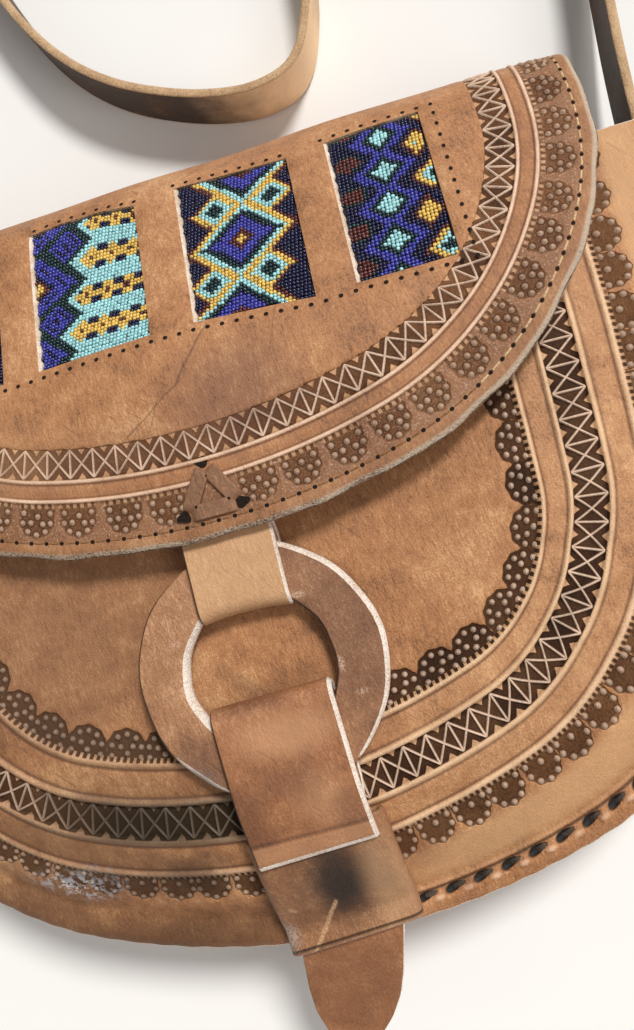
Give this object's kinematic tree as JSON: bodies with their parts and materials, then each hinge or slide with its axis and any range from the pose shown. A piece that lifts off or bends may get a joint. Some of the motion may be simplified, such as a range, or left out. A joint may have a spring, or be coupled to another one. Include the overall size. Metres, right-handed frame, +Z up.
{
  "type": "leather shoulder bag",
  "caption": "Half-moon shoulder bag of tooled leather lying on its back, with a beaded flap closed by a leather ring, a tongue strap and a keeper.",
  "frame": {"origin": "on the floor, on the outer face of the back panel, under the middle of the bag's body", "axes": "+X across the bag, +Y from the bag's bottom to the fold of its flap, +Z up from the floor, out of the bag's front"},
  "size_m": [0.297, 0.4603, 0.0741],
  "materials": {
    "panel_leather": "worn tan, tooled",
    "flap_leather": "worn red-brown, tooled",
    "lining_leather": "raw flesh side",
    "hanger_leather": "smooth light tan",
    "strap_leather": "worn brown",
    "lace_leather": "dark thong",
    "beadwork": "glossy seed beads on cloth"
  },
  "bodies": {
    "root": {"back_panel": "panel_leather", "gusset": "panel_leather", "front_panel": "panel_leather", "flap": "flap_leather", "flap_lining": "lining_leather", "bead_panel_1": "beadwork", "bead_panel_2": "beadwork", "bead_panel_3": "beadwork", "bead_panel_4": "beadwork", "hanger": "hanger_leather", "ring": "strap_leather", "tongue": "strap_leather", "keeper": "strap_leather", "flap_lace": "lace_leather", "shoulder_strap": "strap_leather"}
  },
  "joints": []
}
